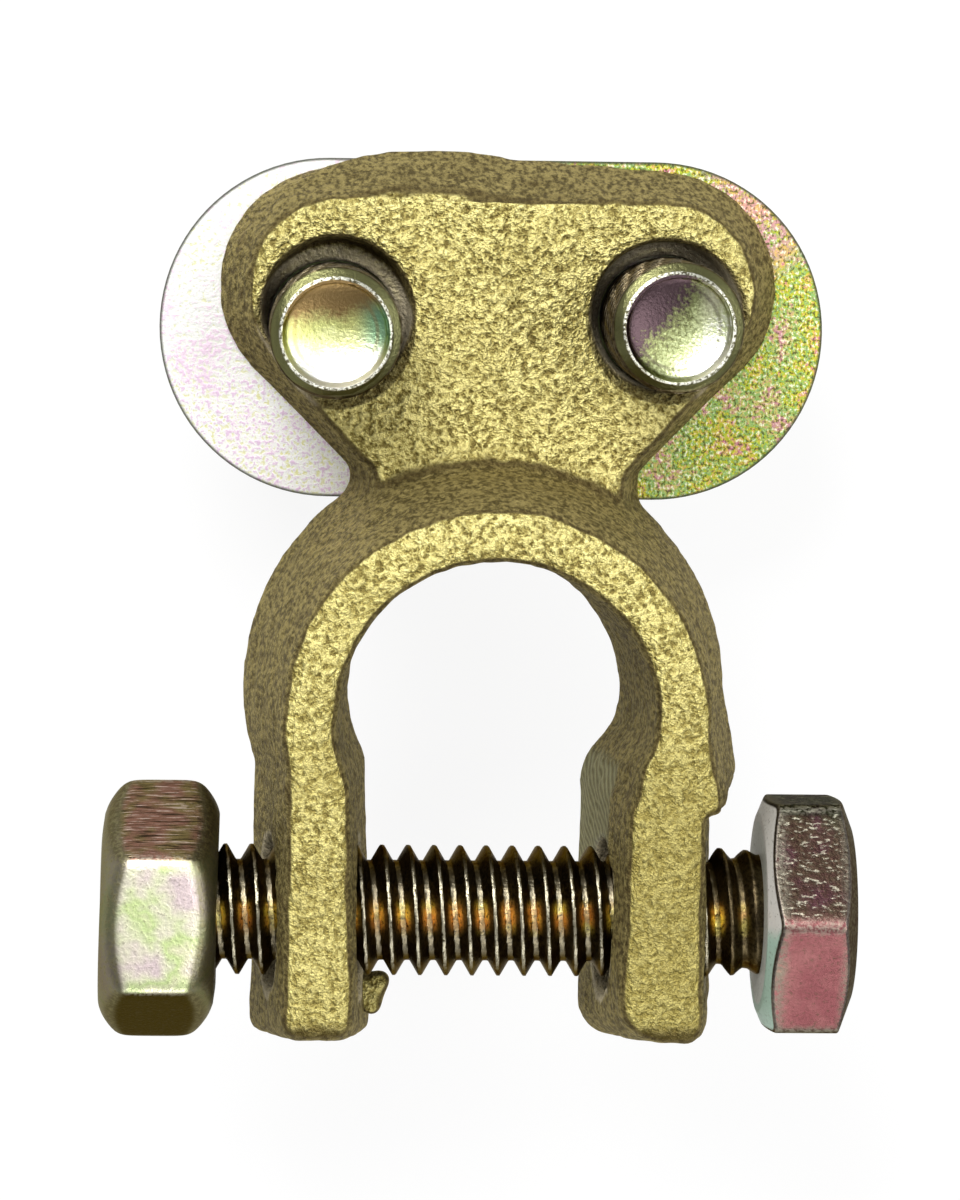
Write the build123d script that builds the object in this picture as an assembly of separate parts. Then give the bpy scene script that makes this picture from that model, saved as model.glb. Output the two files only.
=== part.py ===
from build123d import *
import math
import os

# Battery terminal clamp: a cast brass body that grips a tapered battery post, pulled shut by a
# hex bolt and nut across its two jaws, with a bolted plate that traps the cable against its pad.
#
# Frame, in millimetres: +Z runs along the post bore and out of its wide end, +Y points from the
# bore to the cable pad, +X from the nut to the head of the clamp bolt. The origin is on the bore
# axis in the flat back face of the casting, at the narrow end of the bore.

# Casting: split ring
BODY_HEIGHT = 15.0            # back face to mouth face, along the post
POST_TAPER = 1 / 9            # change of bore diameter per length, as on a battery post
BORE_MOUTH_DIAMETER = 15.2    # wide end of the bore
RING_WALL = 2.5               # wall of the ring at the mouth face
RING_DRAFT = 7.4              # degrees, outside of the ring
MOUTH_EDGE_ROUND = 0.5        # rounding of the cast edges round the mouth face
BORE_CORNER_ROUND = 1.2       # corners where the bore opens into the slot

# Casting: jaws
JAW_OUTER_SETBACK = 0.3       # outside of each jaw within the outside of the ring, at the mouth face
JAW_LENGTH = 15.25            # bore axis to the ends of the jaws, at the mouth face
JAW_DRAFT = 6.1               # degrees, outside and ends of the jaws
JAW_SPLAY = 0.15              # how much further out the jaws are at their ends
NUT_JAW_SETBACK = 0.55        # inner face of the nut's jaw within the bore wall, at the mouth face
HEAD_JAW_SETBACK = 1.15       # inner face of the head's jaw within the bore wall, at the mouth face
SLOT_DRAFT = 4.2              # degrees, each inner face of the jaws
SLOT_TOE_IN = 1.6             # degrees, how the slot narrows towards the ends of the jaws
JAW_CORNER_ROUND = 0.7        # rounding of the corners at the ends of the jaws
HEAD_JAW_TOE_ROUND = 1.8      # larger rounding of the inner corner of the head's jaw
SHOULDER_STANDOUT = 0.55      # wrench stop beyond the outside of the ring, at the mouth face
SHOULDER_DRAFT = 8.0          # degrees, outside of the wrench stop
SHOULDER_TOP_Y = 2.0          # where the wrench stop grows out of the ring
SHOULDER_TOP_LEAN = 1.1       # how far it leans in by there, so that it starts inside the ring
SHOULDER_LAND = 0.9           # straight outer face above the stop

# Casting: cable pad
PAD_THICKNESS = 4.75
PAD_CENTRE_X = 0.45           # the pad stands a little to the head's side of the bore
PAD_LOBE_SPACING = 16.0
PAD_LOBE_RADIUS = 5.85
PAD_LOBE_Y = 20.0
PAD_CROWN_RADIUS = 20.0       # arched far edge between the lobes
PAD_CROWN_TOP = (-2.6, 26.65)
PAD_CROWN_SPAN = 44.0         # degrees of the crown's arc, more than the hull uses
PAD_NECK_WIDTH = 14.4
PAD_NECK_Y = 10.9             # where the neck flares out into the pad
PAD_NECK_ROUND = 1.2          # inner corners where the neck meets the ring
PAD_DRAFT = 14.0              # degrees, wall of the pad
PAD_EDGE_ROUND = 0.75
MOUTH_POCKET_CLEARANCE = 0.525  # radial, cast pocket round each cable bolt, at the mouth side
MOUTH_POCKET_DEPTH = 3.0
MOUTH_POCKET_DRAFT = 4.0
MOUTH_POCKET_SPACING = 16.1
MOUTH_POCKET_Y = 18.85

# Screws: quarter inch by twenty, common to all three bolts and the nut
THREAD_DIAMETER = 6.35
HEX_ACROSS_FLATS = 11.11
HEX_CHAMFER = 30.0            # degrees, both ends of the nut and the outer end of a head
HEAD_UNDERSIDE_CHAMFER = 48.0  # degrees, bearing side of a head
HEX_FACE_SHARE = 0.97         # circle left on an end face, as a share of the width across flats
HEX_CORNER_STANDOFF = 0.01    # turned profile outside the corners, so that the two never touch
BOLT_HEAD_HEIGHT = 4.4
NUT_THICKNESS = 5.56
TIP_CHAMFER = 0.5
TIP_CUP_DEPTH = 0.9
TIP_CUP_RIM = 0.12            # flat rim between the chamfer and the cup
SCREW_CLEARANCE = 0.06        # radial, between a bolt and the hole it is screwed into

# Clamp bolt and nut across the jaws
CLAMP_BOLT_LENGTH = 31.75
CLAMP_BOLT_OFFSET = 10.12     # bore axis to the bolt's axis
CLAMP_HEAD_X = 13.25          # bearing face of the head, with the clamp open
CLAMP_HEAD_TURN = 2.5         # degrees, how far the head has turned towards the wrench stop
CLAMP_HEAD_STOP_CLEARANCE = 0.03  # nearest corner of the head to the wrench stop
JAW_HOLE_CLEARANCE = 0.475    # radial, clamp bolt to its cast hole
JAW_HOLE_DROP = 0.2           # the cast hole sits this much lower than the bolt
NUT_FACE_X = -18.75           # outer face of the nut

# Cable plate and its bolts
PLATE_THICKNESS = 1.5
PLATE_WIDTH = 16.8
PLATE_CENTRE = (0.18, 17.88)
PLATE_HOLE_SPACING = 16.2
PLATE_HOLE_CLEARANCE = 0.35   # radial
PLATE_EDGE_BEVEL = 0.25
CABLE_BOLT_LENGTH = 12.7
CABLE_BOLT_CENTRES = {"left": (-7.75, 18.05), "right": (8.6, 18.5)}

CLAMP_BOLT_Z = BODY_HEIGHT / 2
THREAD_RADIUS = THREAD_DIAMETER / 2
HEX_CORNER_RADIUS = HEX_ACROSS_FLATS / 2 / math.cos(math.radians(30))
BORE_MOUTH_RADIUS = BORE_MOUTH_DIAMETER / 2
BORE_BACK_RADIUS = BORE_MOUTH_RADIUS - BODY_HEIGHT * POST_TAPER / 2
RING_MOUTH_RADIUS = BORE_MOUTH_RADIUS + RING_WALL
JAW_OUTER_HALF_WIDTH = RING_MOUTH_RADIUS - JAW_OUTER_SETBACK
NUT_JAW_INSET = BORE_MOUTH_RADIUS - NUT_JAW_SETBACK
HEAD_JAW_INSET = BORE_MOUTH_RADIUS - HEAD_JAW_SETBACK
SHOULDER_WIDTH = RING_MOUTH_RADIUS + SHOULDER_STANDOUT
MOUTH_POCKET_DIAMETER = THREAD_DIAMETER + 2 * MOUTH_POCKET_CLEARANCE
JAW_HOLE_DIAMETER = THREAD_DIAMETER + 2 * JAW_HOLE_CLEARANCE
CLAMP_BOLT_Y = -CLAMP_BOLT_OFFSET
MARGIN = 2.0                  # how far cuts run past the faces they open
UPRIGHT = 0.9                 # least Z in the direction of an edge that counts as upright
JAW_END_BAND = 0.5            # depth of the zone counted as the end of a jaw


def run_out(degrees, height=BODY_HEIGHT):
    """How far a drafted wall leans out over a height."""
    return height * math.tan(math.radians(degrees))


def wedge(back, mouth):
    """Straight-walled solid from an outline in the back face to one in the mouth face."""
    faces = [
        Plane.XY.offset(level) * make_face(Polyline(*outline, close=True))
        for level, outline in ((0, back), (BODY_HEIGHT, mouth))
    ]
    return loft(faces, ruled=True)


def jaw_block():
    """Both jaws in one drafted block, before the slot parts them."""
    lean = run_out(JAW_DRAFT)

    def outline(out):
        top = JAW_OUTER_HALF_WIDTH + out
        end = top + JAW_SPLAY
        return [(-top, 0), (-end, -JAW_LENGTH - out), (end, -JAW_LENGTH - out), (top, 0)]

    return wedge(outline(lean), outline(0))


def wrench_stop():
    """Shoulder on the head's jaw that keeps the bolt head from turning."""
    lean = run_out(SHOULDER_DRAFT)
    head_reach = HEX_CORNER_RADIUS * math.cos(math.radians(30 - CLAMP_HEAD_TURN))
    stop_y = CLAMP_BOLT_Y + head_reach + CLAMP_HEAD_STOP_CLEARANCE
    root_x = HEAD_JAW_INSET + RING_WALL / 2

    def outline(out):
        face = SHOULDER_WIDTH + out
        return [
            (root_x, SHOULDER_TOP_Y),
            (face - SHOULDER_TOP_LEAN, SHOULDER_TOP_Y),
            (face, stop_y + SHOULDER_LAND),
            (face, stop_y),
            (root_x, stop_y),
        ]

    return wedge(outline(lean), outline(0))


def post_opening():
    """Tapered post bore and the slot that runs from it between the jaws."""
    slope = POST_TAPER / 2
    bore = Cone(
        BORE_BACK_RADIUS - MARGIN * slope,
        BORE_MOUTH_RADIUS + MARGIN * slope,
        BODY_HEIGHT + 2 * MARGIN,
        align=(Align.CENTER, Align.CENTER, Align.MIN),
    ).moved(Location((0, 0, -MARGIN)))
    lean = run_out(SLOT_DRAFT)
    slot_end = JAW_LENGTH + run_out(JAW_DRAFT) + MARGIN
    toe = run_out(SLOT_TOE_IN, slot_end)

    def outline(narrowing):
        left = -NUT_JAW_INSET + narrowing
        right = HEAD_JAW_INSET - narrowing
        return [(left, 0), (left + toe, -slot_end), (right - toe, -slot_end), (right, 0)]

    return bore + wedge(outline(lean), outline(0))


def pad_outline(inset):
    """Outline of the pad: the hull of its two lobes, its arched crown and its neck."""
    lobe_centres = [(PAD_CENTRE_X + side * PAD_LOBE_SPACING / 2, PAD_LOBE_Y) for side in (-1, 1)]
    lobes = [CenterArc(centre, PAD_LOBE_RADIUS - inset, 0, 360) for centre in lobe_centres]
    crown_x, crown_y = PAD_CROWN_TOP
    crown = CenterArc(
        (crown_x, crown_y - PAD_CROWN_RADIUS),
        PAD_CROWN_RADIUS - inset,
        90 - PAD_CROWN_SPAN / 2,
        PAD_CROWN_SPAN,
    )
    neck_left = PAD_CENTRE_X - PAD_NECK_WIDTH / 2 + inset
    neck_right = PAD_CENTRE_X + PAD_NECK_WIDTH / 2 - inset
    flare = Line((neck_left, PAD_NECK_Y), (neck_right, PAD_NECK_Y))
    neck_foot = BORE_MOUTH_RADIUS / 2
    neck = Polyline(
        (neck_left, neck_foot),
        (neck_right, neck_foot),
        (neck_right, PAD_NECK_Y),
        (neck_left, PAD_NECK_Y),
        close=True,
    )
    return make_hull([*lobes, crown, flare]), make_face(neck)


def cable_pad():
    """Cable pad and its neck, with drafted walls and a rounded edge on the mouth side."""
    backs, mouths = pad_outline(0), pad_outline(run_out(PAD_DRAFT, PAD_THICKNESS))
    pad = Part()
    for back, mouth in zip(backs, mouths):
        pad += loft([back, Pos(0, 0, PAD_THICKNESS) * mouth], ruled=True)
    return fillet(pad.faces().sort_by(Axis.Z)[-1].edges(), PAD_EDGE_ROUND)


def cable_bolt_holes():
    """Screwed holes through the pad, each opening into a wider cast pocket."""
    holes = Part()
    pocket_foot = MOUTH_POCKET_DIAMETER / 2 - run_out(MOUTH_POCKET_DRAFT, MOUTH_POCKET_DEPTH)
    for side, (x, y) in zip((-1, 1), CABLE_BOLT_CENTRES.values()):
        bolt_hole = Cylinder(THREAD_RADIUS + SCREW_CLEARANCE, PAD_THICKNESS * 3)
        pocket = Cone(
            pocket_foot,
            MOUTH_POCKET_DIAMETER / 2,
            MOUTH_POCKET_DEPTH,
            align=(Align.CENTER, Align.CENTER, Align.MAX),
        )
        pocket_x = PAD_CENTRE_X + side * MOUTH_POCKET_SPACING / 2
        holes += Pos(x, y, 0) * bolt_hole
        holes += Pos(pocket_x, MOUTH_POCKET_Y, PAD_THICKNESS) * pocket
    return holes


def upright_edges(body, lowest_y, highest_y, half_width):
    """The nearly upright edges of the casting inside a band across it."""

    def wanted(edge):
        centre = edge.center()
        upright = abs(edge.tangent_at(0.5).Z) > UPRIGHT
        return upright and lowest_y < centre.Y < highest_y and abs(centre.X) < half_width

    return body.edges().filter_by(wanted)


def jaw_end_edges(body, inner, side):
    """The upright edges at the end of one jaw, on its slot side or its outer side."""
    limit = (NUT_JAW_INSET + JAW_OUTER_HALF_WIDTH) / 2

    def wanted(edge):
        centre = edge.center()
        upright = abs(edge.tangent_at(0.5).Z) > UPRIGHT
        at_end = centre.Y < -JAW_LENGTH + JAW_END_BAND
        return upright and at_end and centre.X * side > 0 and (abs(centre.X) < limit) == inner

    return body.edges().filter_by(wanted)


def terminal_body():
    """The casting: split ring, jaws with their bolt holes, wrench stop and cable pad."""
    ring = Cone(
        RING_MOUTH_RADIUS + run_out(RING_DRAFT),
        RING_MOUTH_RADIUS,
        BODY_HEIGHT,
        align=(Align.CENTER, Align.CENTER, Align.MIN),
    )
    body = ring + jaw_block() + wrench_stop() + cable_pad() - post_opening()
    bore_corners = upright_edges(body, CLAMP_BOLT_Y, 0, BORE_MOUTH_RADIUS)
    body = fillet(bore_corners, BORE_CORNER_ROUND)
    below_flare = (RING_MOUTH_RADIUS + PAD_NECK_Y) / 2
    neck_corners = upright_edges(body, BORE_MOUTH_RADIUS, below_flare, PAD_NECK_WIDTH)
    body = fillet(neck_corners, PAD_NECK_ROUND)
    body = fillet(jaw_end_edges(body, inner=True, side=1), HEAD_JAW_TOE_ROUND)
    body = fillet(jaw_end_edges(body, inner=True, side=-1), JAW_CORNER_ROUND)
    for side in (-1, 1):
        body = fillet(jaw_end_edges(body, inner=False, side=side), JAW_CORNER_ROUND)
    mouth_face = body.faces().sort_by(Axis.Z)[-1]
    body = fillet(mouth_face.edges(), MOUTH_EDGE_ROUND)
    jaw_hole = Rot(0, 90, 0) * Cylinder(JAW_HOLE_DIAMETER / 2, 4 * JAW_OUTER_HALF_WIDTH)
    body -= Pos(0, CLAMP_BOLT_Y - JAW_HOLE_DROP, CLAMP_BOLT_Z) * jaw_hole
    body -= cable_bolt_holes()
    return body


def hex_blank(height, lower_chamfer=HEX_CHAMFER, upper_chamfer=HEX_CHAMFER):
    """Hex prism standing on z = 0 with the corners of both ends chamfered."""
    prism = extrude(RegularPolygon(HEX_CORNER_RADIUS, 6), height)
    face_radius = HEX_ACROSS_FLATS / 2 * HEX_FACE_SHARE
    outer_radius = HEX_CORNER_RADIUS + HEX_CORNER_STANDOFF
    profile = [
        (0, 0),
        (face_radius, 0),
        (outer_radius, run_out(lower_chamfer, outer_radius - face_radius)),
        (outer_radius, height - run_out(upper_chamfer, outer_radius - face_radius)),
        (face_radius, height),
        (0, height),
    ]
    turned = revolve(Plane.XZ * make_face(Polyline(*profile, close=True)), Axis.Z)
    return prism & turned


def hex_bolt(length):
    """Hex bolt with its bearing face at z = 0, its head below and a cupped tip at z = length."""
    cup_radius = THREAD_RADIUS - TIP_CHAMFER - TIP_CUP_RIM
    profile = [
        (0, -BOLT_HEAD_HEIGHT / 2),
        (THREAD_RADIUS, -BOLT_HEAD_HEIGHT / 2),
        (THREAD_RADIUS, length - TIP_CHAMFER),
        (THREAD_RADIUS - TIP_CHAMFER, length),
        (cup_radius, length),
        (0, length - TIP_CUP_DEPTH),
    ]
    shank = revolve(Plane.XZ * make_face(Polyline(*profile, close=True)), Axis.Z)
    head = hex_blank(BOLT_HEAD_HEIGHT, upper_chamfer=HEAD_UNDERSIDE_CHAMFER)
    return shank + Pos(0, 0, -BOLT_HEAD_HEIGHT) * head


def clamp_bolt():
    """The long bolt, running from its head at +X through both jaws to the nut."""
    place = Pos(CLAMP_HEAD_X, CLAMP_BOLT_Y, CLAMP_BOLT_Z) * Rot(-CLAMP_HEAD_TURN, 0, 0)
    return place * Rot(0, -90, 0) * hex_bolt(CLAMP_BOLT_LENGTH)


def clamp_nut():
    """Hex nut on the end of the clamp bolt, one flat turned to the mouth side."""
    nut = hex_blank(NUT_THICKNESS) - Cylinder(THREAD_RADIUS + SCREW_CLEARANCE, 3 * NUT_THICKNESS)
    return Pos(NUT_FACE_X, CLAMP_BOLT_Y, CLAMP_BOLT_Z) * Rot(0, 90, 0) * Rot(0, 0, 30) * nut


def cable_plate():
    """Flat round-ended plate against the back of the pad, bored for its two bolts."""
    outline = SlotCenterToCenter(PLATE_HOLE_SPACING, PLATE_WIDTH)
    plate = Pos(*PLATE_CENTRE, -PLATE_THICKNESS) * extrude(outline, PLATE_THICKNESS)
    plate = chamfer(plate.faces().sort_by(Axis.Z)[0].edges(), PLATE_EDGE_BEVEL)
    for x, y in CABLE_BOLT_CENTRES.values():
        hole = Cylinder(THREAD_RADIUS + PLATE_HOLE_CLEARANCE, 3 * PLATE_THICKNESS)
        plate -= Pos(x, y, -PLATE_THICKNESS) * hole
    return plate


def cable_bolt(centre):
    """Short bolt through the plate, screwed into the pad with its tip standing out of it."""
    return Pos(*centre, -PLATE_THICKNESS) * hex_bolt(CABLE_BOLT_LENGTH)


def main():
    nodes = {
        "terminal_body": terminal_body(),
        "clamp_bolt": clamp_bolt(),
        "clamp_nut": clamp_nut(),
        "cable_plate": cable_plate(),
    }
    for side, centre in CABLE_BOLT_CENTRES.items():
        nodes[f"cable_bolt_{side}"] = cable_bolt(centre)
    os.makedirs("parts", exist_ok=True)
    for name, shape in nodes.items():
        export_step(shape, f"parts/{name}.step")


main()
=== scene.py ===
import logging
import math
from dataclasses import dataclass
from enum import Enum
from typing import Any, Optional, Sequence, Union

import bmesh
import bpy
import numpy as np
from mathutils import Matrix, Vector


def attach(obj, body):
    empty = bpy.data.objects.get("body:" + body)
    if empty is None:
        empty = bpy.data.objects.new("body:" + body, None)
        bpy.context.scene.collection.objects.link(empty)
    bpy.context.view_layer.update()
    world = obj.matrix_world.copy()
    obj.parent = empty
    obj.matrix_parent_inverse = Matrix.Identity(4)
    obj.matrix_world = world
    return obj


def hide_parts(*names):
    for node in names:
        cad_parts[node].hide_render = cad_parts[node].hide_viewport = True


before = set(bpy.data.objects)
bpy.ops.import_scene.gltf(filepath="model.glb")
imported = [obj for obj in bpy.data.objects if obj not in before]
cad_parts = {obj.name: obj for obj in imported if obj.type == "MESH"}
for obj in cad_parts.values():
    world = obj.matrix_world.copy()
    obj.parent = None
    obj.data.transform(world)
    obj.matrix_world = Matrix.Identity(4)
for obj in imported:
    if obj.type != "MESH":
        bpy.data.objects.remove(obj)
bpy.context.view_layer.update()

log = logging.getLogger("terminal_clamp")

# Lengths are in millimetres, except where they are handed to Blender, which counts in metres.
MM = 0.001
TAU = 2 * math.pi
PITCH = 1.27
THREAD_RADIUS = 3.175
THREAD_DEPTH = 0.74
ACROSS_FLATS = 11.11
CLAMP_AXIS = (-10.12, 7.5)
SEATS = ((-7.75, 18.05), (8.6, 18.5))
SEAT_RADIUS = 3.8
BORE_SLOPE = 1 / 18
CORNER_SHARPNESS = 6.0
SHARP_EDGE = math.radians(38)

Number = Union[int, float]
Pair = tuple[float, float]
Place = tuple[float, float, float]
Colour = tuple[float, float, float]
Stops = Sequence[tuple[float, Colour]]
Array = np.ndarray
Piece = bpy.types.Object
Material = bpy.types.Material


class Axis(Enum):
    """Direction that a turned piece's axis points in."""

    X = "x"
    Z = "z"


class Val:
    """A shader socket that can be used in Python expressions."""

    def __init__(self, graph: "Graph", socket: Any) -> None:
        """Wraps an output socket of a material."""
        self.graph = graph
        self.socket = socket

    def _math(self, operation: str, *others: "Operand", first: Optional["Operand"] = None) -> "Val":
        """Adds a Math node.

        Args:
            operation: the node's operation.
            others: the operands after this value.
            first: an operand that goes before this value.

        Returns:
            The node's result.
        """
        operands = ([first] if first is not None else []) + [self, *others]
        sockets = dict(enumerate(operands))
        return self.graph.out("ShaderNodeMath", {"operation": operation}, sockets)

    def __add__(self, other: "Operand") -> "Val":
        """This value plus another."""
        return self._math("ADD", other)

    def __sub__(self, other: "Operand") -> "Val":
        """This value less another."""
        return self._math("SUBTRACT", other)

    def __rsub__(self, other: Number) -> "Val":
        """A number less this value."""
        return self._math("SUBTRACT", first=other)

    def __mul__(self, other: "Operand") -> "Val":
        """This value times another."""
        return self._math("MULTIPLY", other)

    __radd__ = __add__
    __rmul__ = __mul__

    def magnitude(self) -> "Val":
        """This value without its sign."""
        return self._math("ABSOLUTE")

    def root(self) -> "Val":
        """Square root of this value."""
        return self._math("SQRT")

    def sine(self) -> "Val":
        """Sine of this value in radians."""
        return self._math("SINE")

    def most(self, other: "Operand") -> "Val":
        """The greater of this value and another."""
        return self._math("MAXIMUM", other)

    def step(self, low: Number, high: Number) -> "Val":
        """Smooth rise of this value from one level to another.

        Args:
            low: where the result is 0.
            high: where the result is 1; it may be below low.

        Returns:
            A value from 0 to 1.
        """
        settings = {"interpolation_type": "SMOOTHSTEP"}
        if low <= high:
            sockets = {"Value": self, "From Min": low, "From Max": high}
            return self.graph.out("ShaderNodeMapRange", settings, sockets)
        sockets = {"Value": self, "From Min": high, "From Max": low}
        return 1 - self.graph.out("ShaderNodeMapRange", settings, sockets)


Operand = Union[Val, Number]
Paint = Union[Val, Colour]
Coat = tuple[Operand, Paint]


class Graph:
    """A material under construction, with its object coordinates in millimetres and its normal."""

    def __init__(self, name: str) -> None:
        """Starts an empty material.

        Args:
            name: the material's name.
        """
        self.material = bpy.data.materials.new(name)
        self.material.use_nodes = True
        self.material.node_tree.nodes.clear()
        place = self.node("ShaderNodeTexCoord")
        self.position = Val(self, place.outputs["Object"])
        split = self.node("ShaderNodeSeparateXYZ", sockets={0: self.position})
        self.x, self.y, self.z = (Val(self, split.outputs[i]) * 1000 for i in range(3))
        facing = Val(self, place.outputs["Normal"])
        normal = self.node("ShaderNodeSeparateXYZ", sockets={0: facing})
        self.nx, self.ny, self.nz = (Val(self, normal.outputs[i]) for i in range(3))

    def node(self, kind: str, settings: Optional[dict] = None, sockets: Optional[dict] = None) -> Any:
        """Adds one node.

        Args:
            kind: the node's type.
            settings: its properties, set before its sockets; stops is a ramp's list of stops.
            sockets: values or links, by socket name or number.

        Returns:
            The node.
        """
        made = self.material.node_tree.nodes.new(kind)
        for key, value in (settings or {}).items():
            if key == "stops":
                ramp = made.color_ramp
                for index, (at, colour) in enumerate(value):
                    stop = ramp.elements[index] if index < 2 else ramp.elements.new(at)
                    stop.position, stop.color = at, (*colour, 1)
            else:
                setattr(made, key, value)
        for key, value in (sockets or {}).items():
            if isinstance(value, Val):
                self.material.node_tree.links.new(value.socket, made.inputs[key])
            elif isinstance(value, tuple) and len(value) == 3 and made.inputs[key].type == "RGBA":
                made.inputs[key].default_value = (*value, 1)
            else:
                made.inputs[key].default_value = value
        return made

    def out(self, kind: str, settings: Optional[dict] = None, sockets: Optional[dict] = None) -> Val:
        """Adds one node, as node() does, and wraps its first output."""
        return Val(self, self.node(kind, settings, sockets).outputs[0])

    def noise(self, grain_mm: float, detail: float = 3, stretch: Sequence[float] = (1, 1, 1)) -> Val:
        """Noise whose lumps are about a given size.

        Args:
            grain_mm: size of a lump in millimetres.
            detail: how many finer octaves it has.
            stretch: scale of the coordinates along each axis; below 1 draws the lumps out.

        Returns:
            Noise about 0.5.
        """
        mapping = {"Vector": self.position, "Scale": tuple(stretch)}
        place = self.out("ShaderNodeMapping", {}, mapping)
        sockets = {"Vector": place, "Scale": 1000 / grain_mm, "Detail": detail, "Roughness": 0.6}
        return self.out("ShaderNodeTexNoise", {}, sockets)

    def crumple(self, grain_mm: float, detail: float, gain: float = 2.6) -> Val:
        """Noise folded about its middle, 0 in the creases and about 1 on the lumps of its skin."""
        return (self.noise(grain_mm, detail) * 2 - 1).magnitude() * gain

    def layer(self, name: str) -> Val:
        """Value that the piece's mesh carries at its points under a name."""
        made = self.node("ShaderNodeAttribute", {"attribute_name": name})
        return Val(self, made.outputs["Fac"])

    def mix(self, share: Operand, low: Paint, high: Paint) -> Val:
        """Mixes two colours.

        Args:
            share: 0 for the first colour, 1 for the second.
            low: the first colour.
            high: the second colour.

        Returns:
            The mixed colour.
        """
        sockets = {0: share, 6: low, 7: high}
        made = self.node("ShaderNodeMix", {"data_type": "RGBA"}, sockets)
        return Val(self, made.outputs[2])

    def coated(self, colour: Paint, *coats: Coat) -> Paint:
        """Lays coats of colour one over another.

        Args:
            colour: the colour underneath.
            coats: the share and the colour of each coat, from the lowest up.

        Returns:
            The colour that shows.
        """
        for share, coat in coats:
            colour = self.mix(share, colour, coat)
        return colour

    def ramp(self, value: Val, stops: Stops) -> Val:
        """Colour ramp over a value, with its stops in rising order."""
        return self.out("ShaderNodeValToRGB", {"stops": stops}, {0: value})

    def radius(self, axis: Axis, centre_mm: Pair) -> Val:
        """Distance from an axis in millimetres.

        Args:
            axis: direction of the axis.
            centre_mm: where it passes, as (y, z) for X and (x, y) for Z.

        Returns:
            The distance.
        """
        first, second = (self.y, self.z) if axis is Axis.X else (self.x, self.y)
        a, b = first - centre_mm[0], second - centre_mm[1]
        return (a * a + b * b).root()

    def finish(
        self, colour: Paint, rough: Operand, height: Val, depth_mm: float,
        metallic: Operand = 1.0, rim: Colour = (1.0, 1.0, 1.0),
    ) -> Material:
        """Ends the material in one metal shader with bump.

        Args:
            colour: base colour.
            rough: roughness.
            height: bump height from 0 to 1.
            depth_mm: depth of the bump in millimetres.
            metallic: share of metal.
            rim: tint of what the metal reflects at a grazing angle.

        Returns:
            The material.
        """
        bump_sockets = {"Strength": 1.0, "Distance": depth_mm * MM, "Height": height}
        bump = self.out("ShaderNodeBump", {}, bump_sockets)
        sockets = {
            "Base Color": colour, "Roughness": rough, "Metallic": metallic,
            "Specular Tint": rim, "Normal": bump,
        }
        shader = self.out("ShaderNodeBsdfPrincipled", {}, sockets)
        self.node("ShaderNodeOutputMaterial", {}, {"Surface": shader})
        return self.material


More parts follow.
